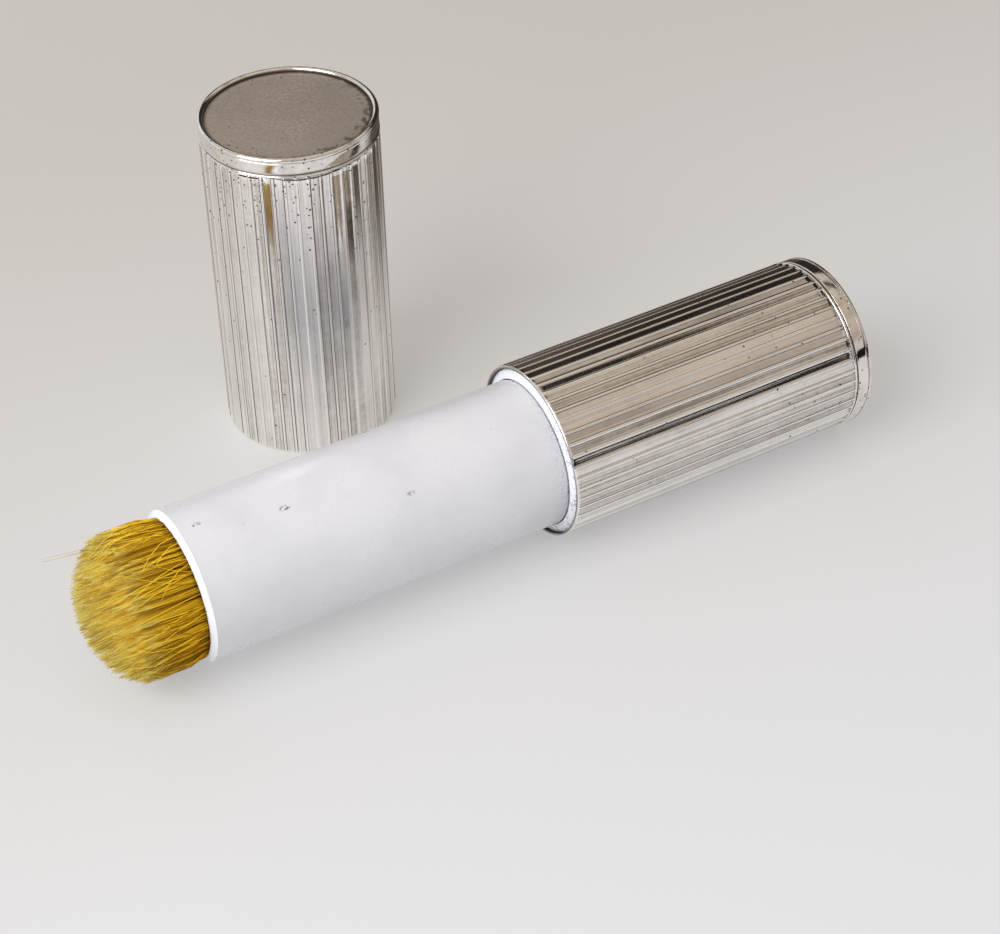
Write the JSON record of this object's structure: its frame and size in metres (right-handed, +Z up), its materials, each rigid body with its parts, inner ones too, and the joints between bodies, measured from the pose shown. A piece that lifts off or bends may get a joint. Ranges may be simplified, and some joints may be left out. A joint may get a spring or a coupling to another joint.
{
  "type": "retractable brush case",
  "caption": "Fluted silver lipstick-style case: twist-up base with white tube and domed brush, and a separate fluted cap.",
  "frame": {"origin": "on the surface the pieces rest on, at the centre of the whole layout's footprint", "axes": "+X along the base's axis towards its closed end, so the brush points to -X; +Y from the base towards the standing cap; +Z up"},
  "size_m": [0.116, 0.066, 0.05],
  "materials": {
    "fluted_silver": "polished silver with fine ribs, lightly worn",
    "plain_silver": "polished silver",
    "end_disc_silver": "matt, tarnished silver",
    "white_plastic": "glossy white, fine scuffs",
    "inner_plastic": "plain moulded",
    "brass": "drawn",
    "steel": "plain",
    "rubber": "plain",
    "ferrule_metal": "satin",
    "glue": "cast resin",
    "bristle": "coarse ochre hair"
  },
  "bodies": {
    "base": {"base_shell": "fluted_silver", "base_band": "plain_silver", "base_end_disc": "end_disc_silver", "base_weight": "steel", "mechanism_floor": "inner_plastic", "spiral_sleeve": "brass"},
    "guide": {"guide_sleeve": "inner_plastic", "guide_collar": "white_plastic", "guide_snap_ring": "steel", "drag_ring": "rubber"},
    "brush": {"brush_tube": "white_plastic", "tube_lip": "white_plastic", "carrier": "inner_plastic", "lug_pins": "steel", "brush_stem": "inner_plastic", "ferrule": "ferrule_metal", "knot_glue": "glue", "bristles": "bristle"},
    "cap": {"cap_shell": "fluted_silver", "cap_band": "plain_silver", "cap_end_disc": "end_disc_silver", "cap_liner": "inner_plastic", "cap_grip_ring": "inner_plastic"}
  },
  "joints": [
    {"name": "twist", "type": "hinge", "parent": "base", "child": "guide", "pos_m": [0.009, -0.0205, 0.0125], "axis": [-1, 0, 0], "range_deg": [0, 540]},
    {"name": "propel", "type": "slide", "parent": "guide", "child": "brush", "axis": [1, 0, 0], "range_m": [0, 0.036]},
    {"name": "cap_lift", "type": "slide", "parent": "base", "child": "cap", "axis": [0, 0, 1], "range_m": [0, 0.06]}
  ],
  "couplings": [
    {"joint": "propel", "follows": "twist", "m_per_rad": 0.003819}
  ]
}
